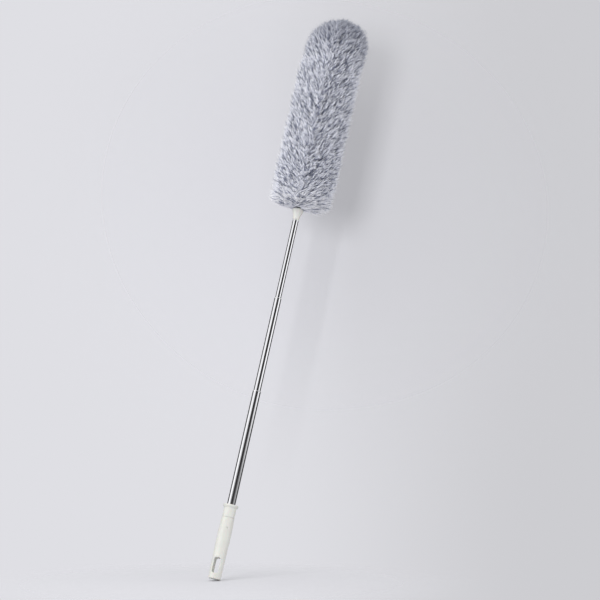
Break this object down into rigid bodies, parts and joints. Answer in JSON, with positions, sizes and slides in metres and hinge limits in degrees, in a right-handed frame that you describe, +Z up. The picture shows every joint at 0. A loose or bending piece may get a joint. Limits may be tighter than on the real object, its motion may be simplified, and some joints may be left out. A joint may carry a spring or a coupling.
{
  "type": "ceiling fan duster",
  "caption": "Long-handled duster: moulded grip with a hang slot, three telescoping steel tubes, funnel stem and a bendable fluffy cylindrical head.",
  "frame": {"origin": "centre of the flat butt end of the handle", "axes": "+Z up the pole's axis towards the fluffy head; the hang slot runs through the handle along Y"},
  "size_m": [0.1325, 0.1327, 1.2047],
  "materials": {
    "cream_polypropylene": "satin",
    "polished_stainless_steel": "polished",
    "plated_rivet_steel": "satin",
    "galvanised_strip_steel": "satin",
    "grey_nylon": "matte",
    "white_acetal": "satin",
    "grey_foam": "matte",
    "white_elastic": "matte",
    "blue_grey_microfibre": "matte"
  },
  "bodies": {
    "handle": {"handle_grip": "cream_polypropylene", "handle_ferrule": "cream_polypropylene", "handle_rivet": "plated_rivet_steel", "lower_tube": "polished_stainless_steel", "lower_tube_plug": "grey_nylon"},
    "middle_slider": {"middle_ring": "white_acetal"},
    "middle_pole": {"middle_tube": "polished_stainless_steel", "middle_bush": "grey_nylon"},
    "upper_slider": {"upper_ring": "white_acetal"},
    "upper_pole": {"upper_tube": "polished_stainless_steel", "upper_bush": "grey_nylon", "thread_socket": "cream_polypropylene"},
    "stem": {"head_stem": "cream_polypropylene", "stem_pin": "plated_rivet_steel", "strip_root": "galvanised_strip_steel"},
    "head": {"core_strip": "galvanised_strip_steel", "strip_tip_cap": "cream_polypropylene", "foam_sleeve": "grey_foam", "hem_elastic": "white_elastic", "pile": "blue_grey_microfibre"}
  },
  "joints": [
    {"name": "middle_slide", "type": "slide", "parent": "handle", "child": "middle_slider", "axis": [0, 0, 1], "range_m": [-0.1936, 0.089]},
    {"name": "middle_turn", "type": "hinge", "parent": "middle_slider", "child": "middle_pole", "pos_m": [0, 0, 0.273], "axis": [0, 0, 1], "continuous": true},
    {"name": "upper_slide", "type": "slide", "parent": "middle_pole", "child": "upper_slider", "axis": [0, 0, 1], "range_m": [-0.1696, 0.075]},
    {"name": "upper_turn", "type": "hinge", "parent": "upper_slider", "child": "upper_pole", "pos_m": [0, 0, 0.483], "axis": [0, 0, 1], "continuous": true},
    {"name": "head_release", "type": "slide", "parent": "upper_pole", "child": "stem", "axis": [0, 0, 1], "range_m": [0, 0.016]},
    {"name": "head_bend", "type": "hinge", "parent": "stem", "child": "head", "pos_m": [0, 0, 0.7632], "axis": [1, 0, 0], "range_deg": [-60, 60]}
  ]
}
